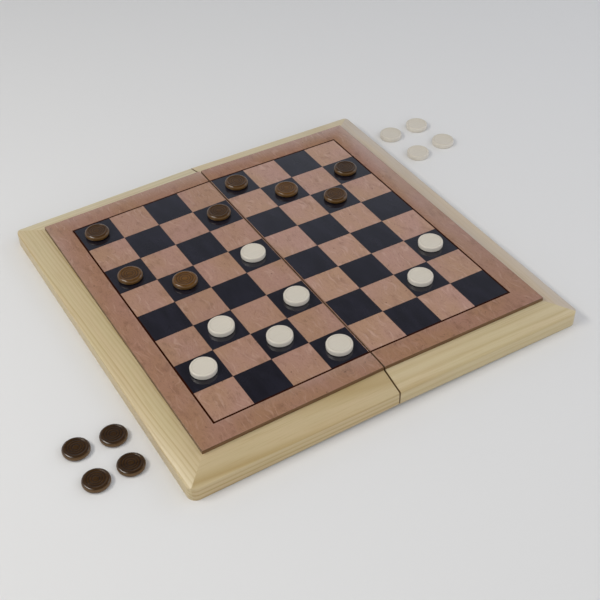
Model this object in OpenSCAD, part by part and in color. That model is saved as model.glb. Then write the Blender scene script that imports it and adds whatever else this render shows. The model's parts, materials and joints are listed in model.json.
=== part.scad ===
// Folding games box, lying open with its inlaid draughts board on top, and its two sets of draughts.
// Millimetres, +Z up, +Y along the fold. The origin is on the table, under the middle of the fold.
// Each half is drawn flat, as the right-hand one, with its height counted from the rim that closes
// on the other half. The hinge barrels stand out below that rim, so the open box leans down a
// little from the fold to its two outer edges.

/* [Board] */
// Side of one playing square
square = 36; // [34:0.5:42]
// Width of the dark line round the squares
line_w = 1.5; // [0.8:0.1:2]
// Width of the veneer border outside the line
border_w = 20.2; // [14:0.2:28]
// Width of the veneer strip between the squares and the fold
seam_strip_w = 0.6; // [0.4:0.1:2]
// Thickness of the veneer
veneer_t = 0.6; // [0.5:0.1:1.2]
// Thickness of the board under the veneer
core_t = 4.4; // [3.6:0.2:7]
// Depth that the board is let into the rails
let_in = 1.6; // [1:0.1:3]
// Gap between the board's edge and the rails
board_gap = 0.1; // [0.05:0.05:0.4]

/* [Frame] */
// Width of a rail's sloping face
slope_w = 23; // [16:0.5:30]
// Rise of the sloping face
slope_rise = 6.6; // [4:0.2:9]
// Height of a rail's upright outer side
side_h = 13; // [11:0.5:24]
// Width of the ledge that carries the board
ledge_w = 4; // [2:0.5:8]
// Radius of the frame's upright outer corners
corner_r = 8; // [4:0.5:12]
// Radius between the outer side and the sloping face
edge_r = 1.5; // [0.5:0.25:3]
// Width of the rail along the fold
spine_w = 12; // [12:0.5:20]
// Gap between the two halves at the fold when the box lies flat
seam_gap = 0.6; // [0.4:0.1:1.2]

/* [Tray] */
// Thickness of the tray's lining
lining_t = 1; // [0.6:0.1:2]
// Gap between the lining and the tray's walls
lining_gap = 0.2; // [0.1:0.05:0.5]
// Length of a backgammon point
point_l = 130; // [90:5:140]
// Width of the lining left between two points at their feet
point_gap = 1; // [0.5:0.1:3]
// Width of the lining left beyond a point's foot
foot_margin = 2; // [1:0.5:6]

/* [Hinges] */
// Length of a hinge
hinge_l = 40; // [30:1:60]
// Distance of each hinge's middle from the nearer end of the fold
hinge_inset = 89; // [60:1:130]
// Radius of the hinge barrel
knuckle_r = 2.5; // [2.3:0.1:3]
// Drop of the hinge axis below the rim
axis_drop = 0.5; // [0.3:0.1:1]
// Gap between neighbouring knuckles
knuckle_gap = 0.2; // [0.1:0.05:0.5]
// Gap between the barrel and the wood
barrel_gap = 0.4; // [0.3:0.1:0.8]
// Reach of a leaf from the hinge axis
leaf_w = 10.5; // [9:0.5:12]
// Thickness of a leaf
leaf_t = 1; // [0.8:0.1:1.4]
// Gap round a leaf in its mortise
mortise_gap = 0.1; // [0.05:0.05:0.3]
// Radius of the hinge pin
pin_r = 1; // [0.7:0.1:1.2]
// Running clearance of the pin in its knuckles
pin_clear = 0.05; // [0.03:0.01:0.1]
// Radius of the pin's heads
pin_head_r = 1.8; // [1.6:0.1:2.2]
// Thickness of the pin's heads
pin_head_t = 0.8; // [0.5:0.1:1.5]

/* [Screws] */
// Radius of a screw's shank
screw_r = 1.2; // [0.9:0.1:1.3]
// Radius of a screw's head
screw_head_r = 2.2; // [1.8:0.1:2.4]
// Length of a screw
screw_l = 9; // [6:0.5:12]
// Length of a screw's point
screw_tip = 2; // [1:0.5:4]
// Distance of the outer screws from the middle of a leaf
screw_y = 14; // [8:1:16]
// Width of the screwdriver slot
slot_w = 0.6; // [0.4:0.1:0.8]
// Depth of the screwdriver slot
slot_d = 0.5; // [0.3:0.1:0.6]
// Clearance of a screw in its holes
screw_clear = 0.05; // [0.03:0.01:0.2]

/* [Magnets] */
// Diameter of a closing magnet
magnet_d = 8; // [6:0.5:12]
// Thickness of a closing magnet
magnet_t = 3; // [2:0.5:5]
// Distance of a magnet from the nearer end of the outer rail
magnet_inset = 129; // [40:1:150]
// Clearance of a magnet in its pocket
magnet_clear = 0.1; // [0.05:0.05:0.3]

/* [Draughts] */
// Diameter of a draught
draught_d = 23; // [20:0.5:26]
// Thickness of a draught
draught_t = 5.2; // [4:0.2:8]
// Radius of a draught's edges
draught_edge_r = 1.1; // [0.5:0.1:1.5]
// Width of a draught's raised rim
draught_rim_w = 2; // [1.6:0.1:3]
// Depth of a draught's dished face
dish = 0.3; // [0.1:0.05:0.6]
// Distance between the rings turned in a brown draught
ring_pitch = 2.2; // [1.8:0.1:2.6]
// Width of a turned ring
ring_w = 0.6; // [0.3:0.1:1]
// Depth of a turned ring
ring_d = 0.25; // [0.1:0.05:0.5]
// Radius of the dimple in a brown draught's middle
dimple_r = 0.8; // [0.5:0.1:1]

/* [Hidden] */
$fn = 64;
cut = 1; // how far a cutting shape runs past what it cuts
arc_steps = 8; // straight stretches in each rounded edge
rows = 8;
half_columns = 4;
half_points = 6;
ring_count = 3;
set_size = 12;

// Heights above the rim
rail_top = side_h + slope_rise;
core_z = rail_top - let_in;
veneer_z = core_z + core_t;
board_top = veneer_z + veneer_t;
lining_z = core_z - lining_t;

// Distances from the fold
seam_x = seam_gap / 2;
grid_x = seam_x + seam_strip_w;
grid_end_x = grid_x + half_columns * square;
line_end_x = grid_end_x + line_w;
board_x = line_end_x + border_w;
half_w = board_x + board_gap + slope_w;
rail_w = slope_w + ledge_w;
tray_x0 = seam_x + spine_w;
tray_x1 = half_w - rail_w;

// Distances from the middle of the fold, along it
grid_y = rows * square / 2;
line_y = grid_y + line_w;
board_y = line_y + border_w;
half_l = board_y + board_gap + slope_w;
tray_y = half_l - rail_w;
hinge_y = half_l - hinge_inset;
magnet_y = half_l - magnet_inset;

// The lean of each half, about the hinge axis, at which its outer lower edge meets the table
lean = asin(knuckle_r / norm([half_w, axis_drop])) + atan(axis_drop / half_w);

// Hinge
knuckle_count = 5;
knuckle_pitch = hinge_l / knuckle_count;
leaf_x0 = knuckle_r + barrel_gap;
screw_x = (leaf_x0 + leaf_w) / 2;

// Lining and its points
lining_x0 = tray_x0 + lining_gap;
lining_x1 = tray_x1 - lining_gap;
lining_y = tray_y - lining_gap;
point_pitch = (lining_x1 - lining_x0) / half_points;

// Draughts on the board: column and row from the left front corner, then how far each stands off
// the middle of its square, along X and Y
brown_on_board = [
    [0, 7, -1.4, 0.7], [0, 5, -1.1, -2.2], [1, 4, 1.5, 0.4], [3, 6, 1.5, 0.7],
    [4, 7, 0.7, -0.7], [5, 6, 1.1, -0.7], [6, 5, 0.7, 1.4], [7, 6, -1.8, 0]
];
white_on_board = [
    [3, 4, -0.7, 0.9], [3, 2, 2.1, -0.1], [1, 2, 0.6, 1.3], [2, 1, 0.4, -0.2],
    [0, 1, 0.9, 0.8], [3, 0, 0.6, -0.5], [6, 1, -1.3, 0.5], [7, 2, -0.4, 0.3]
];
// Draughts on the table: distance from the box's outer side, and place along it
brown_on_table = [[54, -94], [23, -96.5], [53, -132], [23.5, -131.5]];
white_on_table = [[31, 147], [65.5, 147.5], [71, 106.5], [35.5, 102.5]];

function two_digits(n) = str(n < 10 ? "0" : "", n);
function draught_names(colour) = [for (i = [1 : set_size]) str(colour, "_draught_", two_digits(i))];

left = -1;
right = 1;
front = -1;
back = 1;

pine = "#d9c49c";
veneer = "#b98d74";
dark_veneer = "#26262e";
line_veneer = "#2c1a12";
board_edge = "#6a4a33";
lining_brown = "#6b4a36";
brass = "#c9a254";
steel = "#b9bcc0";
brown_lacquer = "#4b2f1f";
ivory = "#e9e3d2";

function arc(centre, r, from, to) =
    [for (i = [0 : arc_steps]) let (a = from + (to - from) * i / arc_steps)
        centre + r * [cos(a), sin(a)]];

// Puts a half's flat drawing in its place: leaning about the hinge axis, on its own side of the fold
module on_half(side)
    mirror([side == left ? 1 : 0, 0, 0])
        translate([0, 0, knuckle_r])
            rotate([0, lean, 0])
                translate([0, 0, axis_drop])
                    children();

// A plate between two corners
module plate(x0, x1, y0, y1, z, t)
    translate([x0, y0, z])
        cube([x1 - x0, y1 - y0, t]);

// ---- Frame ----

// Section of a rail, from its outer side inwards
slope = atan(slope_rise / slope_w);
edge_tangent = edge_r * tan((90 - slope) / 2);
rail_section = concat(
    [[0, 0]],
    arc([edge_r, side_h - edge_tangent], edge_r, 180, 90 + slope),
    [[slope_w, rail_top], [slope_w, core_z], [rail_w, core_z], [rail_w, 0]]
);

// What rounds the upright corner where a rail along the fold's end meets the outer rail
module corner_waste()
    translate([half_w - corner_r, -half_l + corner_r, -cut])
        difference() {
            translate([0, -corner_r - cut, 0])
                cube([corner_r + cut, corner_r + cut, rail_top + 2 * cut]);
            cylinder(r = corner_r, h = rail_top + 2 * cut);
        }

module at_magnets()
    for (y = [-magnet_y, magnet_y])
        translate([half_w - rail_w / 2, y, 0])
            children();

module outer_rail(side)
    color(pine)
        on_half(side)
            difference() {
                intersection() {
                    translate([half_w, half_l, 0])
                        rotate([90, 0, 0])
                            mirror([1, 0, 0])
                                linear_extrude(2 * half_l)
                                    polygon(rail_section);
                    linear_extrude(rail_top)
                        polygon([[half_w, -half_l], [half_w, half_l], [tray_x1, tray_y],
                                 [tray_x1, -tray_y]]);
                }
                corner_waste();
                mirror([0, 1, 0])
                    corner_waste();
                at_magnets()
                    translate([0, 0, -cut])
                        cylinder(d = magnet_d + 2 * magnet_clear, h = magnet_t + cut);
            }

module end_rail(side, end)
    color(pine)
        on_half(side)
            mirror([0, end == back ? 1 : 0, 0])
                difference() {
                    intersection() {
                        translate([seam_x, -half_l, 0])
                            rotate([90, 0, 90])
                                linear_extrude(half_w - seam_x)
                                    polygon(rail_section);
                        linear_extrude(rail_top)
                            polygon([[seam_x, -half_l], [half_w, -half_l], [tray_x1, -tray_y],
                                     [seam_x, -tray_y]]);
                    }
                    corner_waste();
                }

module spine_rail(side)
    color(pine)
        on_half(side)
            difference() {
                plate(seam_x, tray_x0, -tray_y, tray_y, 0, core_z);
                for (end = [front, back])
                    translate([0, end * hinge_y, 0]) {
                        plate(0, leaf_w + mortise_gap, -hinge_l / 2 - mortise_gap,
                              hinge_l / 2 + mortise_gap, -cut, leaf_t + cut);
                        translate([0, 0, -axis_drop])
                            rotate([90, 0, 0])
                                cylinder(r = knuckle_r + barrel_gap,
                                         h = hinge_l + 2 * (pin_head_t + barrel_gap), center = true);
                        at_screws()
                            cylinder(r = screw_r + screw_clear, h = screw_l + screw_clear);
                    }
            }

// ---- Board ----

module board_core(side)
    color(board_edge)
        on_half(side)
            plate(seam_x, board_x, -board_y, board_y, core_z, core_t);

module veneer_sheet()
    translate([0, 0, veneer_z])
        linear_extrude(veneer_t)
            children();

// The border round three sides, and the narrow strip at the fold
module border_veneer(side)
    color(veneer)
        on_half(side)
            veneer_sheet() {
                polygon([[seam_x, -line_y], [line_end_x, -line_y], [line_end_x, line_y],
                         [seam_x, line_y], [seam_x, board_y], [board_x, board_y],
                         [board_x, -board_y], [seam_x, -board_y]]);
                polygon([[seam_x, -grid_y], [grid_x, -grid_y], [grid_x, grid_y],
                         [seam_x, grid_y]]);
            }

module stringing(side)
    color(line_veneer)
        on_half(side)
            veneer_sheet()
                polygon([[seam_x, -line_y], [line_end_x, -line_y], [line_end_x, line_y],
                         [seam_x, line_y], [seam_x, grid_y], [grid_end_x, grid_y],
                         [grid_end_x, -grid_y], [seam_x, -grid_y]]);

// A square's column on the whole board, from its place in the half, counted from the fold, and back
function column(side, place) = side == right ? half_columns + place : half_columns - 1 - place;
function place_in_half(column) = column < half_columns ? half_columns - 1 - column : column - half_columns;
function is_dark(column, row) = (column + row) % 2 == 1;

module squares(side, dark)
    on_half(side)
        for (place = [0 : half_columns - 1], row = [0 : rows - 1])
            if (is_dark(column(side, place), row) == dark)
                translate([grid_x + place * square, row * square - grid_y, veneer_z])
                    cube([square, square, veneer_t]);

module light_squares(side)
    color(veneer)
        squares(side, false);

module dark_squares(side)
    color(dark_veneer)
        squares(side, true);

// ---- Tray ----

// A backgammon point, its foot at one end of the tray
module point_outline(end, place)
    translate([lining_x0 + (place + 0.5) * point_pitch, end * (lining_y - foot_margin)])
        polygon([[(point_gap - point_pitch) / 2, 0], [(point_pitch - point_gap) / 2, 0],
                 [0, -end * point_l]]);

module lining_sheet()
    translate([0, 0, lining_z])
        linear_extrude(lining_t)
            children();

// Points alternate along each end of the whole board, and face one of the other colour
function point_is_dark(side, end, place) =
    (place + (side == right ? 1 : 0) + (end == back ? 1 : 0)) % 2 == 0;

module points(side, dark)
    on_half(side)
        lining_sheet()
            for (end = [front, back], place = [0 : half_points - 1])
                if (point_is_dark(side, end, place) == dark)
                    point_outline(end, place);

module tray_lining(side)
    color(lining_brown)
        on_half(side)
            lining_sheet()
                difference() {
                    translate([lining_x0, -lining_y])
                        square([lining_x1 - lining_x0, 2 * lining_y]);
                    for (end = [front, back], place = [0 : half_points - 1])
                        point_outline(end, place);
                }

module light_points(side)
    color(ivory)
        points(side, false);

module dark_points(side)
    color(dark_veneer)
        points(side, true);

// ---- Hinges, screws and magnets ----

module hinge_leaf(side, end)
    color(brass)
        on_half(side)
            translate([0, end * hinge_y, 0])
                difference() {
                    union() {
                        plate(leaf_x0, leaf_w, -hinge_l / 2, hinge_l / 2, 0, leaf_t);
                        for (i = [side == left ? 0 : 1 : 2 : knuckle_count - 1])
                            knuckle(-hinge_l / 2 + i * knuckle_pitch + knuckle_gap / 2,
                                    knuckle_pitch - knuckle_gap);
                    }
                    translate([0, 0, -axis_drop])
                        rotate([90, 0, 0])
                            cylinder(r = pin_r + pin_clear, h = hinge_l + 2 * cut, center = true);
                    at_screws()
                        screw_shape(screw_clear);
                }

module knuckle(y, l) {
    translate([0, y, -axis_drop])
        rotate([-90, 0, 0])
            cylinder(r = knuckle_r, h = l);
    plate(0, leaf_x0 + cut, y, y + l, 0, leaf_t);
}

module hinge_pin(end)
    color(steel)
        translate([0, end * hinge_y, knuckle_r])
            rotate([90, 0, 0]) {
                cylinder(r = pin_r, h = hinge_l + 2 * pin_head_t, center = true);
                for (z = [-hinge_l / 2 - pin_head_t, hinge_l / 2])
                    translate([0, 0, z])
                        cylinder(r = pin_head_r, h = pin_head_t);
            }

module at_screws()
    for (y = [-screw_y, 0, screw_y])
        translate([screw_x, y, 0])
            children();

// A countersunk screw, its head flush with the rim and its point up in the wood
module screw_shape(clear)
    rotate_extrude()
        polygon([[0, 0], [screw_head_r + clear, 0], [screw_r + clear, leaf_t],
                 [screw_r + clear, screw_l - screw_tip], [0, screw_l]]);

module hinge_screws(side)
    color(brass)
        on_half(side)
            for (end = [front, back])
                translate([0, end * hinge_y, 0])
                    at_screws()
                        difference() {
                            screw_shape(0);
                            translate([-screw_head_r - cut, -slot_w / 2, -cut])
                                cube([2 * (screw_head_r + cut), slot_w, slot_d + cut]);
                        }

module closing_magnets(side)
    color(steel)
        on_half(side)
            at_magnets()
                cylinder(d = magnet_d, h = magnet_t);

// ---- Draughts ----

draught_r = draught_d / 2;
dish_r = draught_r - draught_rim_w;
dish_z = draught_t / 2 - dish;
// The middle of a brown draught's face has a dimple and turned rings. A white one's is plain.
turned_middle = concat(
    [[0, dish_z - ring_d], [dimple_r, dish_z]],
    [for (i = [1 : ring_count], step = [-1, 0, 1])
        [dimple_r + i * ring_pitch + step * ring_w / 2, dish_z - (step == 0 ? ring_d : 0)]]
);
plain_middle = [[0, dish_z]];
// The rest of a face's outline: the rise from the dish to the rim, then the rounded edge
rim_outline = concat(
    [[dish_r - dish, dish_z], [dish_r, draught_t / 2]],
    arc([draught_r - draught_edge_r, draught_t / 2 - draught_edge_r], draught_edge_r, 90, 0)
);

module draught(middle) {
    face = concat(middle, rim_outline);
    last = len(face) - 1;
    translate([0, 0, draught_t / 2])
        rotate_extrude()
            polygon(concat(face, [for (i = [0 : last]) [face[last - i].x, -face[last - i].y]]));
}

module on_board(spot) {
    side = spot[0] < half_columns ? left : right;
    on_half(side)
        translate([grid_x + (place_in_half(spot[0]) + 0.5) * square + side * spot[2],
                   (spot[1] + 0.5) * square - grid_y + spot[3],
                   board_top])
            children();
}

module on_table(side, spot)
    translate([side * (half_w + spot[0]), spot[1], 0])
        children();

module brown_draught(i)
    color(brown_lacquer)
        if (i < len(brown_on_board))
            on_board(brown_on_board[i])
                draught(turned_middle);
        else
            on_table(left, brown_on_table[i - len(brown_on_board)])
                draught(turned_middle);

module white_draught(i)
    color(ivory)
        if (i < len(white_on_board))
            on_board(white_on_board[i])
                draught(plain_middle);
        else
            on_table(right, white_on_table[i - len(white_on_board)])
                draught(plain_middle);

outer_rail(left);  // left_outer_rail
end_rail(left, front);  // left_front_rail
end_rail(left, back);  // left_back_rail
spine_rail(left);  // left_spine_rail
board_core(left);  // left_board_core
border_veneer(left);  // left_border_veneer
light_squares(left);  // left_light_squares
dark_squares(left);  // left_dark_squares
stringing(left);  // left_stringing
tray_lining(left);  // left_tray_lining
light_points(left);  // left_light_points
dark_points(left);  // left_dark_points
closing_magnets(left);  // left_closing_magnets
outer_rail(right);  // right_outer_rail
end_rail(right, front);  // right_front_rail
end_rail(right, back);  // right_back_rail
spine_rail(right);  // right_spine_rail
board_core(right);  // right_board_core
border_veneer(right);  // right_border_veneer
light_squares(right);  // right_light_squares
dark_squares(right);  // right_dark_squares
stringing(right);  // right_stringing
tray_lining(right);  // right_tray_lining
light_points(right);  // right_light_points
dark_points(right);  // right_dark_points
closing_magnets(right);  // right_closing_magnets
hinge_leaf(left, front);  // front_hinge_left_leaf
hinge_leaf(right, front);  // front_hinge_right_leaf
hinge_pin(front);  // front_hinge_pin
hinge_leaf(left, back);  // back_hinge_left_leaf
hinge_leaf(right, back);  // back_hinge_right_leaf
hinge_pin(back);  // back_hinge_pin
hinge_screws(left);  // left_hinge_screws
hinge_screws(right);  // right_hinge_screws
for (i = [0 : set_size - 1]) {
    brown_draught(i);
    white_draught(i);
}
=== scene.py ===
import json
import math
import random

import bmesh
import bpy
from mathutils import Matrix, Vector


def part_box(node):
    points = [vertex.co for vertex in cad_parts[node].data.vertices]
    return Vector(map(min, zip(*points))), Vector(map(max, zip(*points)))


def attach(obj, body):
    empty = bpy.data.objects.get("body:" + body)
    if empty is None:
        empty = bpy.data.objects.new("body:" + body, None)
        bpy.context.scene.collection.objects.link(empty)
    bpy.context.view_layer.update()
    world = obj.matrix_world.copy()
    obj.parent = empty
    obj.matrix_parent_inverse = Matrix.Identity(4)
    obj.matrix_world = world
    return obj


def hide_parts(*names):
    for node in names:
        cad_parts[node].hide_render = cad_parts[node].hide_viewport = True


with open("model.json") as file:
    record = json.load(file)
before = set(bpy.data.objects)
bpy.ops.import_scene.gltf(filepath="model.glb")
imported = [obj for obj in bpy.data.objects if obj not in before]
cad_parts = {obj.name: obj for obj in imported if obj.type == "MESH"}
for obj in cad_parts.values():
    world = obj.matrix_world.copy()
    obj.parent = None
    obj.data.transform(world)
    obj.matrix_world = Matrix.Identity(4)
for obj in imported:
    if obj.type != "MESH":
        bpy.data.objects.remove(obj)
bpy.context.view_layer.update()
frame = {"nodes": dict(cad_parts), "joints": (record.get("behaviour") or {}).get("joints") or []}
nodes = frame["nodes"]
mm = 0.001
print("loaded", len(nodes), "pieces of the box and its draughts")


# Sizes that the frame gives
joints = {joint["name"]: joint for joint in frame["joints"]}
hingeHeight = joints["board_fold"]["pos_m"][2]
liftLeft = Vector(joints["brown_draught_01_lift"]["axis"])
lean = math.atan2(-liftLeft.x, liftLeft.z)
firstHeight = min(
    (Matrix.Rotation(-lean, 3, "Y") @ (corner.co - Vector((0, 0, hingeHeight)))).z
    for corner in nodes["right_outer_rail"].data.vertices
)


# A point of one half as it lies in the half's flat drawing, in mm: X from the fold outwards,
# Y along the fold, Z up from the rim that closes on the other half
def asDrawn(point, side):
    turned = Matrix.Rotation(-lean * side, 3, "Y") @ (point - Vector((0, 0, hingeHeight)))
    return Vector((turned.x * side, turned.y, turned.z - firstHeight)) / mm


def drawnBox(node, side=1):
    points = [asDrawn(corner.co, side) for corner in nodes[node].data.vertices]
    return [Vector([pick(point[axis] for point in points) for axis in range(3)]) for pick in (min, max)]


halfWidth, halfLength, _ = drawnBox("right_outer_rail")[1]
gridLow, gridHigh = drawnBox("right_light_squares")
squareSide = (gridHigh.y - gridLow.y) / 8
boardHigh = drawnBox("right_board_core")[1]
print("squares of", round(squareSide, 2), "mm, each half leans", round(math.degrees(lean), 2), "degrees")


def linear(hexCode):
    channels = [int(hexCode[i:i + 2], 16) / 255 for i in (1, 3, 5)]
    return [c / 12.92 if c <= 0.04045 else ((c + 0.055) / 1.055) ** 2.4 for c in channels] + [1]


# Adds a node. Feeds go to its sockets: an output is linked, anything else is set.
def addNode(tree, kind, feeds=None, stops=None, **settings):
    node = tree.nodes.new("ShaderNode" + kind)
    for name, value in settings.items():
        setattr(node, name, value)
    for name, value in (feeds or {}).items():
        if isinstance(value, bpy.types.NodeSocket):
            tree.links.new(value, node.inputs[name])
        elif isinstance(value, str):
            node.inputs[name].default_value = linear(value)
        else:
            node.inputs[name].default_value = value
    if stops:
        ramp = node.color_ramp
        while len(ramp.elements) < len(stops):
            ramp.elements.new(1)
        for element, (position, shade) in zip(ramp.elements, stops):
            element.position = position
            element.color = linear(shade) if isinstance(shade, str) else (shade, shade, shade, 1)
    return node


def newMaterial(name):
    material = bpy.data.materials.new(name)
    material.use_nodes = True
    tree = material.node_tree
    tree.nodes.clear()
    skin = addNode(tree, "BsdfPrincipled")
    addNode(tree, "OutputMaterial", {"Surface": skin.outputs["BSDF"]})
    return material, tree, skin


# Object coordinates turned into the drawing of one half, in mm, so that a pattern follows the wood
def drawingCoords(tree, side):
    world = addNode(tree, "TexCoord").outputs["Object"]
    back = Vector((math.sin(lean) * hingeHeight, 0, -math.cos(lean) * hingeHeight - firstHeight)) / mm
    return addNode(tree, "Mapping", {
        "Vector": world, "Scale": (side / mm, 1 / mm, 1 / mm),
        "Rotation": (0, -lean, 0), "Location": back}).outputs["Vector"]


# Noise whose lumps have the given size in mm along X, Y and Z
def grainNoise(tree, place, size, detail=2.0, rough=0.5, output="Fac"):
    scaled = addNode(tree, "VectorMath", {0: place, 1: [1 / lump for lump in size]}, operation="MULTIPLY")
    return addNode(tree, "TexNoise", {
        "Vector": scaled.outputs[0], "Scale": 1.0, "Detail": detail, "Roughness": rough}).outputs[output]


# One colour passing into another as fac goes from low to high
def blendBetween(tree, fac, low, high, first, second, most=1.0):
    share = addNode(tree, "MapRange", {
        "Value": fac, "From Min": low, "From Max": high, "To Max": most}, interpolation_type="SMOOTHSTEP")
    return addNode(tree, "Mix", {0: share.outputs[0], 6: first, 7: second}, data_type="RGBA").outputs[2]


# Lays marks on a colour: noise with lumps of a size in mm, the values of it at which the marks start
# and are full, their colour, and the most that they show
def marked(tree, place, colour, marks):
    noise = grainNoise(tree, place, marks["size"], marks.get("detail", 2), marks.get("rough", 0.5))
    return blendBetween(tree, noise, *marks["between"], colour, marks["shade"], marks.get("most", 1.0))


# Lightens and darkens a colour by a share either way as fac moves about 0.5
def shaded(tree, colour, fac, share):
    gain = addNode(tree, "MapRange", {
        "Value": fac, "From Min": 0.25, "From Max": 0.75, "To Min": 1 - share, "To Max": 1 + share})
    return addNode(tree, "VectorMath", {0: colour, 3: gain.outputs[0]}, operation="SCALE").outputs[0]


# Links colour, roughness and bump. Fingers leave duller patches, so the roughness wanders with them.
def finishSkin(tree, skin, colour, rough, height, depth, handled, **sockets):
    tree.links.new(colour, skin.inputs["Base Color"])
    spread = addNode(tree, "MapRange", {
        "Value": handled, "From Min": 0.3, "From Max": 0.7, "To Min": rough[0], "To Max": rough[1]})
    tree.links.new(spread.outputs[0], skin.inputs["Roughness"])
    bump = addNode(tree, "Bump", {"Height": height, "Distance": depth * mm, "Strength": 1.0})
    tree.links.new(bump.outputs[0], skin.inputs["Normal"])
    for name, value in sockets.items():
        skin.inputs[name.replace("_", " ")].default_value = value


# Darkens a piece up to a reach in mm from the fold: painted shade in the seam between the halves, and the
# sawn ends, which drink the finish
def seamShadeAndEndGrain(tree, drawn, colour, shade, reach, most):
    fromFold = addNode(tree, "SeparateXYZ", {0: drawn}).outputs["X"]
    none, full = 1.3 * reach, 0.8 * reach
    return blendBetween(tree, fromFold, none, full, colour, shade, most)


pineValues = {
    # Broad patches with a pinker cast
    "flush": {"size": (90, 16, 16), "between": (0.35, 0.65), "shade": "#c4ac86", "most": 0.45},
    "late": "#a58b54",  # the darker wood that ends each year's ring
    "season": [(0.0, 0.3), (0.1, 0.0), (0.5, 0.12), (0.86, 1.0), (1.0, 0.3)],  # its share through a year
    "lines": {"size": (48, 0.8, 0.8), "between": (0.52, 0.74), "shade": "#a58b54", "most": 0.36},
    "ducts": {"size": (5, 0.35, 0.35), "detail": 1, "between": (0.72, 0.8), "shade": "#8a6a42", "most": 0.3},
    "fold": {"shade": "#67491f", "reach": 0.55, "most": 0.85},  # painted shade in the seam at the fold, and the darker sawn ends
    "strayLumps": (120, 45, 45),  # mm, size of the bends in the rings
    "fibre": (34, 0.6, 0.6), "fibreShare": 0.03, "relief": 0.02,  # mm
    "handled": (26, 26, 26),  # mm, size of the patches that fingers left
    "rough": (0.34, 0.48),
    "varnish": {"Coat_Weight": 0.25, "Coat_Roughness": 0.3, "IOR": 1.5},
}

# The board that each rail was cut from
# pale: colour of its spring wood, set rail by rail to how bright each rail looks under the light, so partly
# painted light and shade
# pith: where the middle of its log lay, across the rail and above the rim, in mm
# ring: one year's growth, in mm
# share: how much of the late wood's dark the rings show, from one end of their range to the other
# stray: how far the rings wander, in mm
# runsOut: degrees by which the grain leaves the rail sideways and downwards
boards = {
    "left_outer_rail": {"pale": "#c3b288", "pith": (-250, -70), "ring": 2.9, "share": (0.25, 0.75),
                        "stray": 3, "runsOut": (2.5, 0)},
    "left_front_rail": {"pale": "#beab82", "pith": (-187.3, 87.3), "ring": 4.5, "share": (0.95, 0.6),
                        "stray": 0.7, "runsOut": (0, 1.0)},
    "left_back_rail": {"pale": "#c9ba90", "pith": (240, -55), "ring": 6, "share": (0.15, 0.5),
                       "stray": 5, "runsOut": (0, 1)},
    "left_spine_rail": {"pale": "#c9ba90", "pith": (-10, -75), "ring": 5, "share": (0.15, 0.5),
                        "stray": 5, "runsOut": (0, 1)},
    "right_outer_rail": {"pale": "#bbac99", "pith": (-240, -90), "ring": 4, "share": (0.04, 0.2),
                         "stray": 4, "runsOut": (1, 0)},
    "right_front_rail": {"pale": "#c5b58e", "pith": (-100.5, -59.5), "ring": 4.4, "share": (0.12, 0.65),
                         "stray": 2, "runsOut": (0.4, 0)},
    "right_back_rail": {"pale": "#c6b68c", "pith": (250, -70), "ring": 5, "share": (0.15, 0.4),
                        "stray": 4, "runsOut": (1, 1)},
    "right_spine_rail": {"pale": "#c9ba90", "pith": (-20, -70), "ring": 5, "share": (0.15, 0.5),
                         "stray": 5, "runsOut": (0, 1)},
}


# Pine, planed and sprayed with satin varnish: pale bands that end darker, and long fine lines of fibre
def pine(rail, side, alongX):
    values = pineValues
    board = boards[rail]
    material, tree, skin = newMaterial(f"varnished pine {rail}")
    drawn = drawingCoords(tree, side)
    lengthwise = addNode(tree, "Mapping", {
        "Vector": drawn, "Rotation": (0, 0, 0 if alongX else math.radians(-90))}).outputs[0]
    sideways, downwards = [math.radians(angle) for angle in board["runsOut"]]
    grainwise = addNode(tree, "Mapping", {
        "Vector": lengthwise, "Rotation": (0, downwards, sideways)}).outputs[0]
    fromPith = addNode(tree, "VectorMath", {
        0: grainwise, 1: (0, *board["pith"])}, operation="SUBTRACT").outputs[0]
    stray = grainNoise(tree, fromPith, values["strayLumps"], detail=1.5, output="Color")
    strayed = addNode(tree, "VectorMath", {
        0: stray, 1: (0, board["stray"], board["stray"]), 2: fromPith}, operation="MULTIPLY_ADD")
    crosswise = addNode(tree, "VectorMath", {0: strayed.outputs[0], 1: (0, 1, 1)}, operation="MULTIPLY")
    radius = addNode(tree, "VectorMath", {0: crosswise.outputs[0]}, operation="LENGTH")
    phase = addNode(tree, "Math", {0: radius.outputs["Value"], 1: board["ring"]}, operation="DIVIDE")
    year = addNode(tree, "Math", {0: phase.outputs[0]}, operation="FLOOR")
    season = addNode(tree, "Math", {0: phase.outputs[0]}, operation="FRACT")
    lateWood = addNode(tree, "ValToRGB", {"Fac": season.outputs[0]}, stops=values["season"])
    yearTone = addNode(tree, "TexWhiteNoise", {"W": year.outputs[0]}, noise_dimensions="1D")
    strength = addNode(tree, "MapRange", {
        "Value": yearTone.outputs[0], "To Min": board["share"][0], "To Max": board["share"][1]})
    ring = addNode(tree, "Math", {0: lateWood.outputs[0], 1: strength.outputs[0]}, operation="MULTIPLY")
    colour = marked(tree, fromPith, board["pale"], values["flush"])
    colour = addNode(tree, "Mix", {
        0: ring.outputs[0], 6: colour, 7: values["late"]}, data_type="RGBA").outputs[2]
    colour = marked(tree, fromPith, colour, values["lines"])
    fibre = grainNoise(tree, fromPith, values["fibre"], detail=3)
    colour = shaded(tree, colour, fibre, values["fibreShare"])
    colour = marked(tree, fromPith, colour, values["ducts"])
    # painted shade in the seam where the front and back rails meet at the fold
    if alongX:
        colour = seamShadeAndEndGrain(tree, drawn, colour, **values["fold"])
    handled = grainNoise(tree, drawn, values["handled"], detail=3)
    finishSkin(tree, skin, colour, values["rough"], fibre, values["relief"], handled, **values["varnish"])
    return material


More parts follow.
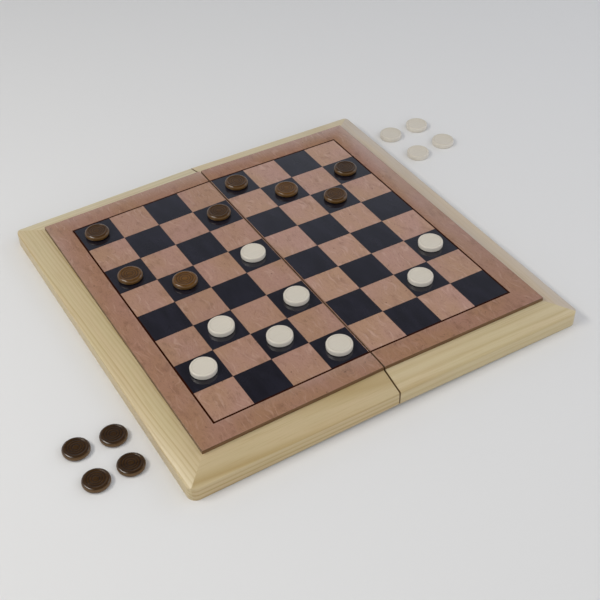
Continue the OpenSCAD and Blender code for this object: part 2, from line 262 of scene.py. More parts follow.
rosyValues = {
    "tan": "#9a7458",
    "rose": {"size": (34, 52, 34), "between": (0.3, 0.7), "shade": "#9c7562"},
    "mottle": {"size": (7, 13, 7), "detail": 4, "rough": 0.6, "between": (0.5, 0.74), "shade": "#7d5a45",
               "most": 0.56},
    "wave": (16, 9, 0), "waveLumps": (14, 20, 14),  # mm, how far the grain bends and the size of a bend
    "glow": {"size": (2.6, 16, 2.6), "detail": 3, "between": (0.53, 0.74), "shade": "#b08c77", "most": 0.55},
    "curlLumps": (2.2, 7, 2.2), "curlBetween": (0.03, 0.0), "curlMost": 0.22,  # thin dark curls
    "flecks": {"size": (0.9, 3.4, 0.9), "rough": 0.6, "between": (0.66, 0.74), "shade": "#553829",
               "most": 0.6},
    "pinSpacing": 13, "pinBetween": (0.07, 0.03), "pinMost": 0.7,  # mm, and shares of it
    "dark": "#553829",  # curls and pin marks
    "fibre": (0.45, 9, 0.45), "fibreShare": 0.05, "relief": 0.006,  # mm
    "edge": "#5c4229",  # the sheet's own edge, stained with the board under it
    "edgeBetween": (-0.25, -0.1), "edgeMost": 0.9,  # mm outside the sheet's edge
    "squareTintAndSheen": {-1: (1.15, 1.22, 1.31), 1: (1.28, 1.39, 1.54)},  # how much paler and bluer each half's squares are: partly their own colour, partly a painted sheen that is stronger on the right half
    "squareTone": 0.05,  # share that one square is lighter or darker than another
    # painted shade in the seam at the fold, and the darker sawn ends
    "fold": {"shade": "#241610", "reach": 0.3, "most": 0.85},
    "joint": "#4d3428", "jointMost": 0.6,
    "jointLine": 0.14,  # mm, half the width of the line between squares
    "jointFade": 2.5,  # how many times that the line reaches as it fades
    "sheetShift": 400,  # mm, so that the halves are cut from different sheets
    "handled": (22, 22, 22),  # mm
    "rough": (0.32, 0.42),
    "lacquer": {"Coat_Weight": 1.0, "Coat_Roughness": 0.1, "Specular_IOR_Level": 0.1},
}


# The figure of a rosy, mottled veneer, its grain along Y: blotches, wavy pale and dark streaks, short
# flecks and pin marks. Gives its colour and its fibre.
def rosyFigure(tree, place):
    values = rosyValues
    colour = marked(tree, place, values["tan"], values["rose"])
    colour = marked(tree, place, colour, values["mottle"])
    bend = grainNoise(tree, place, values["waveLumps"], detail=1, output="Color")
    wavy = addNode(tree, "VectorMath", {
        0: bend, 1: values["wave"], 2: place}, operation="MULTIPLY_ADD").outputs[0]
    colour = marked(tree, wavy, colour, values["glow"])
    curl = grainNoise(tree, wavy, values["curlLumps"], detail=2)
    ridge = addNode(tree, "Math", {0: curl, 1: 0.5}, operation="SUBTRACT")
    ridge = addNode(tree, "Math", {0: ridge.outputs[0]}, operation="ABSOLUTE")
    colour = blendBetween(
        tree, ridge.outputs[0], *values["curlBetween"], colour, values["dark"], values["curlMost"])
    fibre = grainNoise(tree, place, values["fibre"], detail=2)
    colour = shaded(tree, colour, fibre, values["fibreShare"])
    colour = marked(tree, wavy, colour, values["flecks"])
    pins = addNode(tree, "TexVoronoi", {"Vector": place, "Scale": 1 / values["pinSpacing"]})
    colour = blendBetween(
        tree, pins.outputs["Distance"], *values["pinBetween"], colour, values["dark"], values["pinMost"])
    return colour, fibre


# Satin lacquer, with the patches that fingers left
def lacquerVeneer(tree, skin, drawn, colour, fibre, values):
    handled = grainNoise(tree, drawn, values["handled"], detail=3)
    finishSkin(tree, skin, colour, values["rough"], fibre, values["relief"], handled, **values["lacquer"])


# Rosy veneer under satin lacquer. Up to the sheet's own edge it shows its figure, and there the stain.
def borderVeneer(name, side):
    values = rosyValues
    material, tree, skin = newMaterial(name)
    drawn = drawingCoords(tree, side)
    sheet = addNode(tree, "VectorMath", {
        0: drawn, 1: (values["sheetShift"] * side, 0, 0)}, operation="ADD").outputs[0]
    colour, fibre = rosyFigure(tree, sheet)
    folded = addNode(tree, "VectorMath", {0: drawn}, operation="ABSOLUTE")
    past = addNode(tree, "VectorMath", {0: folded.outputs[0], 1: boardHigh}, operation="SUBTRACT")
    parts = addNode(tree, "SeparateXYZ", {0: past.outputs[0]})
    atEdge = addNode(tree, "Math", {0: parts.outputs["X"], 1: parts.outputs["Y"]}, operation="MAXIMUM")
    colour = blendBetween(
        tree, atEdge.outputs[0], *values["edgeBetween"], colour, values["edge"], values["edgeMost"])
    # painted shade in the seam at the fold
    colour = seamShadeAndEndGrain(tree, drawn, colour, **values["fold"])
    lacquerVeneer(tree, skin, drawn, colour, fibre, values)
    return material


# What tells one square from the next: its place within itself, and a random number of its own
def squareCells(tree, drawn, side):
    counted = addNode(tree, "VectorMath", {0: drawn, 1: (-gridLow.x, 0, 0)}, operation="ADD")
    counted = addNode(tree, "VectorMath", {
        0: counted.outputs[0], 1: (1 / squareSide,) * 3}, operation="MULTIPLY")
    parts = addNode(tree, "SeparateXYZ", {0: counted.outputs[0]})
    cells, edges = [], []
    for axis in ("X", "Y"):
        cells.append(addNode(tree, "Math", {0: parts.outputs[axis]}, operation="FLOOR").outputs[0])
        within = addNode(tree, "Math", {0: parts.outputs[axis]}, operation="FRACT")
        fromCentre = addNode(tree, "Math", {0: within.outputs[0], 1: 0.5}, operation="SUBTRACT")
        edges.append(addNode(tree, "Math", {0: fromCentre.outputs[0]}, operation="ABSOLUTE").outputs[0])
    cell = addNode(tree, "CombineXYZ", {"X": cells[0], "Y": cells[1], "Z": side * 7.0})  # unlike in each half
    chance = addNode(tree, "TexWhiteNoise", {"Vector": cell.outputs[0]}, noise_dimensions="3D")
    nearEdge = addNode(tree, "Math", {0: edges[0], 1: edges[1]}, operation="MAXIMUM")
    farApart = (500, 500, 500)  # mm
    ownSheet = addNode(tree, "VectorMath", {
        0: chance.outputs["Color"], 1: farApart, 2: drawn}, operation="MULTIPLY_ADD")
    return chance.outputs["Value"], nearEdge.outputs[0], ownSheet.outputs[0]


def jointLines(tree, colour, nearEdge, shade, most):
    line = rosyValues["jointLine"] / squareSide
    fade = rosyValues["jointFade"] * line
    return blendBetween(tree, nearEdge, 0.5 - fade, 0.5 - line, colour, shade, most)


# The border's veneer again, each square cut from its own place in the sheet
def lightSquares(name, side):
    values = rosyValues
    material, tree, skin = newMaterial(name)
    drawn = drawingCoords(tree, side)
    chance, nearEdge, ownSheet = squareCells(tree, drawn, side)
    colour, fibre = rosyFigure(tree, ownSheet)
    # the squares' own colour with a painted sheen, bluer and stronger on the right half
    colour = addNode(tree, "VectorMath", {
        0: colour, 1: values["squareTintAndSheen"][side]}, operation="MULTIPLY").outputs[0]
    colour = shaded(tree, colour, chance, values["squareTone"] / 2)
    colour = jointLines(tree, colour, nearEdge, values["joint"], values["jointMost"])
    lacquerVeneer(tree, skin, drawn, colour, fibre, values)
    return material


dyedValues = {
    "dyed": "#15131a",
    "worn": {"size": (9, 30, 9), "detail": 3, "between": (0.35, 0.7), "shade": "#201e28", "most": 0.7},
    "joint": "#0c0807", "jointMost": 0.6,
    "fibre": (0.6, 16, 0.6), "fibreShare": 0.12, "relief": 0.004,  # mm
    "handled": (18, 18, 18),  # mm
    "rough": (0.2, 0.3),
    "lacquer": {"Coat_Weight": 1.0, "Coat_Roughness": 0.09, "Specular_IOR_Level": 0.1},
}


# Veneer dyed blue-black, with hardly any grain left, under lacquer that mirrors what stands on it
def darkSquares(name, side):
    values = dyedValues
    material, tree, skin = newMaterial(name)
    drawn = drawingCoords(tree, side)
    _, nearEdge, ownSheet = squareCells(tree, drawn, side)
    colour = marked(tree, ownSheet, values["dyed"], values["worn"])
    fibre = grainNoise(tree, ownSheet, values["fibre"], detail=2)
    colour = shaded(tree, colour, fibre, values["fibreShare"])
    colour = jointLines(tree, colour, nearEdge, values["joint"], values["jointMost"])
    lacquerVeneer(tree, skin, drawn, colour, fibre, values)
    return material


# What all stained woods here share
stainedValues = {
    "streaks": {"detail": 4, "rough": 0.6, "between": (0.35, 0.68)},
    "fibre": (0.5, 12, 0.5), "fibreShare": 0.08, "relief": 0.012,  # mm
    "handled": (20, 20, 20),  # mm
    "coatRough": 0.25,
}
# What each has of its own. Streaks have their size in mm. Sheen is the specular level under the coat.
stainValues = {
    "dark line": {"base": "#331306", "streak": "#240d05", "size": (0.8, 20, 2), "rough": (0.5, 0.6),
                  "coat": 0.0, "sheen": 0.0},
    "stained board edge": {"base": "#76583a", "streak": "#5d4229", "size": (24, 24, 0.9),
                           "rough": (0.42, 0.55), "coat": 0.15, "sheen": 0.25},
    "walnut lining": {"base": "#6a4a36", "streak": "#533827", "size": (2.5, 60, 2.5), "rough": (0.45, 0.6),
                      "coat": 0.1, "sheen": 0.25},
    "maple point": {"base": "#cdb896", "streak": "#bda37c", "size": (3, 60, 3), "rough": (0.4, 0.5),
                    "coat": 0.1, "sheen": 0.25},
    "black dyed point": {"base": "#24222a", "streak": "#302d35", "size": (2, 40, 2), "rough": (0.4, 0.5),
                         "coat": 0.1, "sheen": 0.25},
}


# Plain stained wood: veneer with its streaks along Y, or a plywood edge with its plies as thin layers
def stainedWood(kind, sideName, side):
    values = stainValues[kind]
    material, tree, skin = newMaterial(f"{kind} {sideName}")
    drawn = drawingCoords(tree, side)
    streaks = {**stainedValues["streaks"], "size": values["size"], "shade": values["streak"]}
    colour = marked(tree, drawn, values["base"], streaks)
    fibre = grainNoise(tree, drawn, stainedValues["fibre"], detail=2)
    colour = shaded(tree, colour, fibre, stainedValues["fibreShare"])
    handled = grainNoise(tree, drawn, stainedValues["handled"], detail=3)
    finishSkin(tree, skin, colour, values["rough"], fibre, stainedValues["relief"], handled,
               Coat_Weight=values["coat"], Coat_Roughness=stainedValues["coatRough"],
               Specular_IOR_Level=values["sheen"])
    return material


metalValues = {
    "rolled brass": {"shine": "#c8a45c", "tarnish": "#96763c", "rough": (0.22, 0.36)},
    "drawn steel": {"shine": "#b4b6ba", "tarnish": "#8b8d92", "rough": (0.24, 0.38)},
    "nickel plate": {"shine": "#c3c1bb", "tarnish": "#a3a19c", "rough": (0.16, 0.3)},
    "brushed": (0.15, 6, 0.15), "relief": 0.004,  # mm
    "patches": (4, 5, 4),  # mm
    "tarnished": (0.45, 0.75), "tarnishMost": 0.7,
}


# Metal brushed along Y: the fine streaks spread its highlight, and faint patches of tarnish dull it
def brushedMetal(kind):
    values = metalValues[kind]
    material, tree, skin = newMaterial(kind)
    place = addNode(tree, "VectorMath", {
        0: addNode(tree, "TexCoord").outputs["Object"], 3: 1 / mm}, operation="SCALE").outputs[0]
    brushed = grainNoise(tree, place, metalValues["brushed"], detail=2)
    patches = grainNoise(tree, place, metalValues["patches"], detail=4, rough=0.6)
    colour = blendBetween(
        tree, patches, *metalValues["tarnished"], values["shine"], values["tarnish"],
        metalValues["tarnishMost"])
    finishSkin(tree, skin, colour, values["rough"], brushed, metalValues["relief"], patches, Metallic=1.0)
    return material


# How far each kind of piece is eased: at the fold in mm, and the share of that on its other edges
easedEdges = {
    "rail": {"arris": 0.5, "elsewhere": 0.6}, "veneer": {"arris": 0.2, "elsewhere": 0.6},
    "board": {"arris": 0.2}, "leaf": {"arris": 0.12, "segments": 2},
    "pin": {"arris": 0.15, "segments": 2}, "magnet": {"arris": 0.3, "segments": 2},
}
arrisValues = {
    "seamReach": 1.0,  # mm, edges this close to the fold are eased in full
    "mitreReach": 0.4,  # mm, edges this close to a mitre stay crisp
    "sharpFrom": 35,  # degrees, an edge that turns less isn't eased
    "smoothTo": 32,  # degrees, an edge that turns less is shaded as a curve
}


# Adds a node to a geometry group, as addNode does to a material
def addShaper(group, kind, feeds=None, **settings):
    node = group.nodes.new(kind)
    for name, value in settings.items():
        setattr(node, name, value)
    for name, value in (feeds or {}).items():
        if isinstance(value, bpy.types.NodeSocket):
            group.links.new(value, node.inputs[name])
        else:
            node.inputs[name].default_value = value
    return node


def newShaper(name):
    group = bpy.data.node_groups.new(name, "GeometryNodeTree")
    group.interface.new_socket("Geometry", in_out="INPUT", socket_type="NodeSocketGeometry")
    group.interface.new_socket("Geometry", in_out="OUTPUT", socket_type="NodeSocketGeometry")
    return group, group.nodes.new("NodeGroupInput").outputs[0]


# Weighs a piece's edges for the bevel that follows: all of it at the fold, a share elsewhere, and
# none at the mitres, where the rails are glued and sanded flush
def arrisShaper(elsewhere):
    values = arrisValues
    group, start = newShaper("weighArrises")
    place = addShaper(group, "GeometryNodeInputPosition")
    folded = addShaper(group, "ShaderNodeVectorMath", {0: place.outputs[0]}, operation="ABSOLUTE")
    parts = addShaper(group, "ShaderNodeSeparateXYZ", {0: folded.outputs[0]})
    atSeam = addShaper(group, "ShaderNodeMath", {
        0: parts.outputs["X"], 1: values["seamReach"] * mm}, operation="LESS_THAN")
    past = addShaper(group, "ShaderNodeMath", {
        0: parts.outputs["X"], 1: parts.outputs["Y"]}, operation="SUBTRACT")
    atMitre = addShaper(group, "ShaderNodeMath", {
        0: past.outputs[0], 1: (halfWidth - halfLength) * mm, 2: values["mitreReach"] * mm},
        operation="COMPARE")
    rest = addShaper(group, "ShaderNodeMath", {
        0: atMitre.outputs[0], 1: -elsewhere, 2: elsewhere}, operation="MULTIPLY_ADD")
    weight = addShaper(group, "ShaderNodeMath", {
        0: atSeam.outputs[0], 1: rest.outputs[0]}, operation="MAXIMUM")
    turn = addShaper(group, "GeometryNodeInputMeshEdgeAngle")
    sharp = addShaper(group, "ShaderNodeMath", {
        0: turn.outputs["Unsigned Angle"], 1: math.radians(values["sharpFrom"])}, operation="GREATER_THAN")
    share = addShaper(group, "ShaderNodeMath", {
        0: weight.outputs[0], 1: sharp.outputs[0]}, operation="MULTIPLY")
    stored = addShaper(group, "GeometryNodeStoreNamedAttribute", {
        "Geometry": start, "Name": "bevel_weight_edge", "Value": share.outputs[0]},
        data_type="FLOAT", domain="EDGE")
    addShaper(group, "NodeGroupOutput", {0: stored.outputs[0]})
    return group


# Rounds the shading of curved faces and keeps true edges crisp
def smoothShaper(angle):
    group, start = newShaper("smoothCurves")
    bare = addShaper(group, "GeometryNodeRemoveAttribute", {"Geometry": start, "Name": "custom_normal"})
    faces = addShaper(group, "GeometryNodeSetShadeSmooth", {"Geometry": bare.outputs[0]})
    turn = addShaper(group, "GeometryNodeInputMeshEdgeAngle")
    gentle = addShaper(group, "FunctionNodeCompare", {0: turn.outputs["Unsigned Angle"], 1: angle},
                       operation="LESS_THAN")
    edges = addShaper(group, "GeometryNodeSetShadeSmooth", {
        "Geometry": faces.outputs[0], "Shade Smooth": gentle.outputs[0]}, domain="EDGE")
    addShaper(group, "NodeGroupOutput", {0: edges.outputs[0]})
    return group


smoothCurves = smoothShaper(math.radians(arrisValues["smoothTo"]))


sameSpot = 1e-6  # m, corners this close are one
flatWithin = 0.3  # degrees, triangles that turn less are one face


# Merges a CAD piece's loose triangles into plain faces, eases its sharp edges and gives it its
# material
def finishPiece(name, material, arris=0, elsewhere=1.0, segments=3):
    piece = nodes[name]
    piece.data.materials.clear()
    piece.data.materials.append(material)
    merge = piece.modifiers.new("merge", "WELD")
    merge.merge_threshold = sameSpot
    flats = piece.modifiers.new("flats", "DECIMATE")
    flats.decimate_type = "DISSOLVE"
    flats.angle_limit = math.radians(flatWithin)
    if arris:
        piece.modifiers.new("weigh", "NODES").node_group = arrisShaper(elsewhere)
        ease = piece.modifiers.new("ease", "BEVEL")
        ease.width = arris * mm
        ease.segments = segments
        ease.limit_method = "WEIGHT"
    piece.modifiers.new("shade", "NODES").node_group = smoothCurves


# Which rails have their grain along X
frameRails = {"outer_rail": False, "front_rail": True, "back_rail": True, "spine_rail": False}

for sideName, side in (("left", -1), ("right", 1)):
    for rail, alongX in frameRails.items():
        finishPiece(f"{sideName}_{rail}", pine(f"{sideName}_{rail}", side, alongX), **easedEdges["rail"])
    boardEdge = stainedWood("stained board edge", sideName, side)
    finishPiece(f"{sideName}_board_core", boardEdge, **easedEdges["board"])
    border = borderVeneer(f"rosy veneer border {sideName}", side)
    finishPiece(f"{sideName}_border_veneer", border, **easedEdges["veneer"])
    finishPiece(f"{sideName}_light_squares", lightSquares(f"rosy veneer squares {sideName}", side))
    finishPiece(f"{sideName}_dark_squares", darkSquares(f"dyed black veneer {sideName}", side))
    finishPiece(f"{sideName}_stringing", stainedWood("dark line", sideName, side))
    finishPiece(f"{sideName}_tray_lining", stainedWood("walnut lining", sideName, side))
    finishPiece(f"{sideName}_light_points", stainedWood("maple point", sideName, side))
    finishPiece(f"{sideName}_dark_points", stainedWood("black dyed point", sideName, side))
print("frame, board and trays are finished")

brass = brushedMetal("rolled brass")
steel = brushedMetal("drawn steel")
nickel = brushedMetal("nickel plate")
for end in ("front", "back"):
    for leaf in ("left", "right"):
        finishPiece(f"{end}_hinge_{leaf}_leaf", brass, **easedEdges["leaf"])
    finishPiece(f"{end}_hinge_pin", steel, **easedEdges["pin"])
for sideName in ("left", "right"):
    finishPiece(f"{sideName}_hinge_screws", brass)
    finishPiece(f"{sideName}_closing_magnets", nickel, **easedEdges["magnet"])
print("hinges, screws and magnets are finished")


draughtValues = {
    "edgeRadius": {"brown": 2.2, "white": 1.1}, "rimWidth": {"brown": 2.6, "white": 2.0},  # mm
    "dish": 0.2, "dimpleRadius": 0.8,  # mm
    "ringPitch": 2.2, "ringWidth": 1.0, "ringDepth": 0.17,  # mm
    "rings": {"brown": 3, "white": 0},
    "dimpleRound": 0.15, "lipRound": 0.1, "grooveRound": 0.08, "dishRound": 0.3,  # mm
    "segments": 72, "edgeSteps": 6, "fineSteps": 2,  # faces round the piece, its edge and a fine rounding
    "plank": (20, 900),  # mm, how far along the plank a draught may be cut from
}
tableLow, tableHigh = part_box("white_draught_09")
draughtRadius = (tableHigh.x - tableLow.x) / 2 / mm
draughtHalf = (tableHigh.z - tableLow.z) / 2 / mm


# Corners of a draught's section in mm, from the middle of its top to its waist. Each has the radius
# that it is rounded to.
def draughtCorners(colourName):
    sizes = draughtValues
    rings = sizes["rings"][colourName]
    dishZ = draughtHalf - sizes["dish"]
    grooveZ = dishZ - sizes["ringDepth"]
    if rings:
        corners = [(0, grooveZ, 0), (sizes["dimpleRadius"], dishZ, sizes["dimpleRound"])]
    else:
        corners = [(0, dishZ, 0)]
    for ring in range(1, rings + 1):
        middle = sizes["dimpleRadius"] + ring * sizes["ringPitch"]
        corners += [(middle - sizes["ringWidth"] / 2, dishZ, sizes["lipRound"]),
                    (middle, grooveZ, sizes["grooveRound"]),
                    (middle + sizes["ringWidth"] / 2, dishZ, sizes["lipRound"])]
    dishRadius = draughtRadius - sizes["rimWidth"][colourName]
    corners += [(dishRadius - sizes["dish"], dishZ, sizes["dishRound"]),
                (dishRadius, draughtHalf, sizes["dishRound"]),
                (draughtRadius, draughtHalf, sizes["edgeRadius"][colourName]), (draughtRadius, 0, 0)]
    return corners


# Turns a draught from its section, then sets it in the place and lean of its CAD node
def turnedDraught(node, colourName, tone, material):
    sizes = draughtValues
    shape = bmesh.new()
    corners = draughtCorners(colourName)
    line = [shape.verts.new((r * mm, 0, z * mm)) for r, z, _ in corners]
    for first, second in zip(line, line[1:]):
        shape.edges.new((first, second))
    for point, (_, _, radius) in zip(list(line), corners):
        if radius:
            isEdge = radius == sizes["edgeRadius"][colourName]
            steps = sizes["edgeSteps"] if isEdge else sizes["fineSteps"]
            bmesh.ops.bevel(shape, geom=[point], offset=radius * mm, offset_type="OFFSET",
                            affect="VERTICES", segments=steps, profile=0.5, material=-1)
    bmesh.ops.spin(shape, geom=shape.verts[:] + shape.edges[:], cent=(0, 0, 0), axis=(0, 0, 1),
                   angle=math.tau, steps=sizes["segments"], use_merge=True)
    bmesh.ops.mirror(shape, geom=shape.verts[:] + shape.edges[:] + shape.faces[:], matrix=Matrix(),
                     merge_dist=sameSpot, axis="Z")
    bmesh.ops.remove_doubles(shape, verts=shape.verts[:], dist=sameSpot)
    bmesh.ops.recalc_face_normals(shape, faces=shape.faces[:])
    chance = random.Random(node)
    bmesh.ops.rotate(shape, verts=shape.verts[:], cent=(0, 0, 0),
                     matrix=Matrix.Rotation(chance.uniform(0, math.tau), 3, "Z"))
    mesh = bpy.data.meshes.new("turned_" + node)
    shape.to_mesh(mesh)
    shape.free()
    for face in mesh.polygons:
        face.use_smooth = True
    own = mesh.attributes.new("ownPlace", "FLOAT_VECTOR", "POINT")
    own.data.foreach_set("vector", [c for vert in mesh.vertices for c in vert.co / mm])
    placeInPlank = chance.uniform(*sizes["plank"])
    for name, value in (("plank", placeInPlank), ("tone", tone)):
        mesh.attributes.new(name, "FLOAT", "POINT").data.foreach_set("value", [value] * len(mesh.vertices))
    low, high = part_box(node)
    up = Vector(joints[node + "_lift"]["axis"])
    upright = Vector((0, 0, 1)).rotation_difference(up).to_matrix().to_4x4()
    mesh.transform(Matrix.Translation((low + high) / 2) @ upright)
    mesh.materials.append(material)
    piece = bpy.data.objects.new("turned_" + node, mesh)
    bpy.context.scene.collection.objects.link(piece)
    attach(piece, node)
    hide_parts(node)


# grooveShade: how strongly painted shade darkens the rings' grooves, or the rim's foot on the white draughts
lacquerValues = {
    "brown": {"name": "stained lacquered beech", "face": "#664416", "dark": "#29150a", "side": "#5e431e",
              "streaks": 0.55, "fibre": 0.18, "grooveShade": 0.85, "coat": (0.4, 0.7), "coatRough": 0.07,
              "rough": (0.3, 0.45)},
    "white": {"name": "ivory lacquered beech", "face": "#d1c9b9", "dark": "#bdb3a0", "side": "#d2ccc0",
              "streaks": 0.2, "fibre": 0.01, "grooveShade": 0.5, "coat": (0.6, 0.6), "coatRough": 0.2,
              "rough": (0.38, 0.5)},
}
beechValues = {
    "streaks": {"size": (12, 1.1, 1.1), "detail": 4, "rough": 0.6, "between": (0.35, 0.7)},
    "fibre": (7, 0.35, 0.35), "relief": 0.006,  # mm
    "handled": (5, 5, 5),  # mm
    "shadedGroove": (0.5, 0.1),  # mm off a groove where the painted shade starts and is full
    "sideFrom": 0.6, "sideMost": 0.9,  # share of the rounded edge where the side's colour starts
    "sideFull": 0.05,  # mm inside the widest radius, where it is full
    "coatFade": 0.8,  # mm inside the rounded edge, over which the coat changes
    "sheen": 0.1,  # specular level under the coat
}
# How pale each draught's wood took its stain: eight on the board, then four on the table
draughtTones = {
    "brown": (0.5, 0.8, 1.0, 0.5, 0.6, 0.9, 0.6, 0.4, 0.34, 0.3, 0.36, 0.32),
    "white": (1.0, 0.98, 1.0, 0.97, 1.0, 0.98, 0.99, 1.0, 0.98, 1.0, 0.99, 1.0),
}


# Turned beech, stained and dipped in lacquer, with painted shade darkening the rings' grooves, or else the
# rim's foot. The lacquer runs thin down the side, where its colour is partly a painted glow of light through
# it. Fingers polish the rounded edge and leave the face duller.
def draughtLacquer(colourName):
    sizes = draughtValues
    values = lacquerValues[colourName]
    material, tree, skin = newMaterial(values["name"])
    place = addNode(tree, "Attribute", attribute_name="ownPlace").outputs["Vector"]
    plank = addNode(tree, "Attribute", attribute_name="plank").outputs["Fac"]
    tone = addNode(tree, "Attribute", attribute_name="tone").outputs["Fac"]
    lifted = addNode(tree, "CombineXYZ", {"Z": plank})
    inPlank = addNode(tree, "VectorMath", {0: place, 1: lifted.outputs[0]}, operation="ADD").outputs[0]
    flat = addNode(tree, "VectorMath", {0: place, 1: (1, 1, 0)}, operation="MULTIPLY")
    radius = addNode(tree, "VectorMath", {0: flat.outputs[0]}, operation="LENGTH").outputs["Value"]
    streaks = {**beechValues["streaks"], "shade": values["dark"], "most": values["streaks"]}
    colour = marked(tree, inPlank, values["face"], streaks)
    fibre = grainNoise(tree, inPlank, beechValues["fibre"], detail=2)
    colour = shaded(tree, colour, fibre, values["fibre"])
    rings = range(1, sizes["rings"][colourName] + 1)
    shadedGrooves = [sizes["dimpleRadius"] + ring * sizes["ringPitch"] for ring in rings]
    # painted shade in each ring's groove, or at the rim's foot where there are no rings
    for shadedGroove in shadedGrooves or [draughtRadius - sizes["rimWidth"][colourName] - sizes["dish"]]:
        offGroove = addNode(tree, "Math", {0: radius, 1: shadedGroove}, operation="SUBTRACT")
        offGroove = addNode(tree, "Math", {0: offGroove.outputs[0]}, operation="ABSOLUTE")
        colour = blendBetween(
            tree, offGroove.outputs[0], *beechValues["shadedGroove"], colour, values["dark"], values["grooveShade"])
    colour = addNode(tree, "VectorMath", {0: colour, 3: tone}, operation="SCALE").outputs[0]
    edgeRadius = sizes["edgeRadius"][colourName]
    shoulder = draughtRadius - edgeRadius
    sideFrom = shoulder + beechValues["sideFrom"] * edgeRadius
    sideFull = draughtRadius - beechValues["sideFull"]
    # the side's colour, the same on every draught whatever its tone: partly the thin lacquer, partly a
    # painted glow of light through it
    colour = blendBetween(tree, radius, sideFrom, sideFull, colour, values["side"], beechValues["sideMost"])
    handled = grainNoise(tree, inPlank, beechValues["handled"], detail=3)
    finishSkin(tree, skin, colour, values["rough"], fibre, beechValues["relief"], handled,
               Coat_Roughness=values["coatRough"], Specular_IOR_Level=beechValues["sheen"])
    onFace, onShoulder = values["coat"]
    coat = addNode(tree, "MapRange", {
        "Value": radius, "From Min": shoulder - beechValues["coatFade"], "From Max": shoulder,
        "To Min": onFace, "To Max": onShoulder})
    tree.links.new(coat.outputs[0], skin.inputs["Coat Weight"])
    return material


for colourName, tones in draughtTones.items():
    lacquer = draughtLacquer(colourName)
    for number, tone in enumerate(tones, start=1):
        turnedDraught(f"{colourName}_draught_{number:02d}", colourName, tone, lacquer)
print("24 draughts are turned")


studioValues = {
    "floor": "#dfdedb", "floorRough": 0.9, "floorSize": 8.0,  # m
    "clearing": 0.045,  # m, how far off a piece below the floor clears it
    "open": (0.9, 0.99),  # how free of pieces a spot is where the floor starts to show and is whole
    "fades": (0.85, 1.8),  # m from the box, where the floor starts and ends passing into the sky
    # sky colour against the sine of its height: the floor's tone below, a bright surround, a dim ceiling
    "sky": [(-0.35, "#d6d6d7"), (0.0, "#f4f4f5"), (0.3, "#dfe1e6"), (0.5, "#bcc1cc"), (0.6, "#8f94a0"),
            (0.66, "#6c6f78"), (0.75, "#4e5057"), (1.0, "#6f7073")],
}

# Softboxes, with place and size in m and power in W. The front and overhead ones fill the shadows and
# are left out of mirror images; the glint is seen in mirror images alone.
softboxes = {
    "key": {"place": (-1.05, 0.2, 1.2), "size": (0.9, 0.4), "power": 10.8, "tint": "#fffcf6",
            "mirrored": True, "lights": True},
    "glint": {"place": (-1.07, 0.2, 1.22), "size": (1.4, 0.7), "power": 11.0, "tint": "#fffcf6",
              "mirrored": True, "lights": False},
    "front": {"place": (0.3, -1.6, 1.2), "size": (2.2, 1.5), "power": 9.6, "tint": "#fffdfa",
              "mirrored": False, "lights": True},
    "overhead": {"place": (0.1, -0.25, 1.7), "size": (1.6, 1.6), "power": 6.4, "tint": "#f7f9ff",
                 "mirrored": False, "lights": True},
    "window": {"place": (1.5, -0.2, 0.85), "size": (0.9, 0.9), "power": 4.0, "tint": "#e9efff",
               "mirrored": True, "lights": True},
}


# Matt and plain, and far from the box it passes into the sky. The half that folds swings below the
# table top, so the floor clears where a piece is under it. Nothing is there at rest.
def studioFloor():
    material, tree, skin = newMaterial("matt studio floor")
    skin.inputs["Base Color"].default_value = linear(studioValues["floor"])
    skin.inputs["Roughness"].default_value = studioValues["floorRough"]
    under = addNode(tree, "AmbientOcclusion", {
        "Distance": studioValues["clearing"]}, inside=True, samples=8)
    bare, whole = studioValues["open"]
    opaque = addNode(tree, "MapRange", {"Value": under.outputs["AO"], "From Min": bare, "From Max": whole})
    clear = addNode(tree, "BsdfTransparent")
    either = addNode(tree, "MixShader", {0: opaque.outputs[0], 1: clear.outputs[0], 2: skin.outputs[0]})
    start, end = studioValues["fades"]
    place = addNode(tree, "TexCoord").outputs["Object"]
    away = addNode(tree, "VectorMath", {0: place}, operation="LENGTH").outputs["Value"]
    faded = addNode(tree, "MapRange", {
        "Value": away, "From Min": start, "From Max": end}, interpolation_type="SMOOTHSTEP")
    ray = addNode(tree, "LightPath").outputs
    seen = addNode(tree, "Math", {0: ray["Is Camera Ray"], 1: ray["Is Glossy Ray"]}, operation="MAXIMUM")
    seen = addNode(tree, "Math", {0: seen.outputs[0], 1: ray["Is Transmission Ray"]}, operation="MAXIMUM")
    share = addNode(tree, "Math", {0: faded.outputs[0], 1: seen.outputs[0]}, operation="MULTIPLY")
    passing = addNode(tree, "MixShader", {0: share.outputs[0], 1: either.outputs[0], 2: clear.outputs[0]})
    tree.links.new(passing.outputs[0], tree.nodes["Material Output"].inputs["Surface"])
    return material


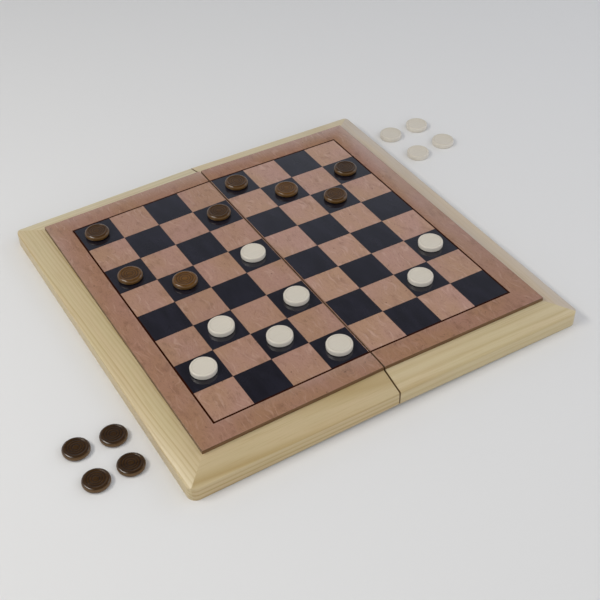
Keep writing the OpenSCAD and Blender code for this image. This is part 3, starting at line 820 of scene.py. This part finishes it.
floorShape = bmesh.new()
bmesh.ops.create_grid(floorShape, x_segments=1, y_segments=1, size=studioValues["floorSize"] / 2)
floorMesh = bpy.data.meshes.new("studio_floor")
floorShape.to_mesh(floorMesh)
floorShape.free()
floor = bpy.data.objects.new("studio_floor", floorMesh)
bpy.context.scene.collection.objects.link(floor)
floorMesh.materials.append(studioFloor())

world = bpy.data.worlds.new("soft studio")
bpy.context.scene.world = world
world.use_nodes = True
worldTree = world.node_tree
worldTree.nodes.clear()
skyWay = addNode(worldTree, "TexCoord").outputs["Generated"]
skyHeight = addNode(worldTree, "SeparateXYZ", {0: skyWay}).outputs["Z"]
fromNadir = addNode(worldTree, "MapRange", {"Value": skyHeight, "From Min": -1.0})
sky = addNode(worldTree, "ValToRGB", {"Fac": fromNadir.outputs[0]},
              stops=[(0.5 + 0.5 * height, shade) for height, shade in studioValues["sky"]])
glow = addNode(worldTree, "Background", {"Color": sky.outputs[0], "Strength": 1.0})
addNode(worldTree, "OutputWorld", {"Surface": glow.outputs[0]})


def softbox(name, place, size, power, tint, mirrored, lights):
    lamp = bpy.data.lights.new(name, "AREA")
    lamp.shape = "RECTANGLE"
    lamp.size, lamp.size_y = size
    lamp.energy = power
    lamp.color = linear(tint)[:3]
    holder = bpy.data.objects.new(name, lamp)
    holder.location = place
    holder.rotation_euler = (-Vector(place)).to_track_quat("-Z", "Y").to_euler()
    holder.visible_glossy = mirrored
    holder.visible_diffuse = lights
    bpy.context.scene.collection.objects.link(holder)


for name, values in softboxes.items():
    softbox(name + " softbox", **values)

cameraValues = {
    "place": (-0.377732, -0.690062, 0.662985),  # m, from the chequer's corners in the photo
    "turn": (48.8174, 1.1846, -30.8210),  # degrees
    "lens": 66.5, "sensor": 36, "near": 0.02,  # mm, mm and m
}
cameraData = bpy.data.cameras.new("photo camera")
cameraData.sensor_width = cameraValues["sensor"]
cameraData.lens = cameraValues["lens"]
cameraData.clip_start = cameraValues["near"]
camera = bpy.data.objects.new("photo camera", cameraData)
camera.location = cameraValues["place"]
camera.rotation_euler = [math.radians(angle) for angle in cameraValues["turn"]]
bpy.context.scene.collection.objects.link(camera)
bpy.context.scene.camera = camera
bpy.context.scene.view_settings.view_transform = "Standard"
print("floor, light and camera are set")
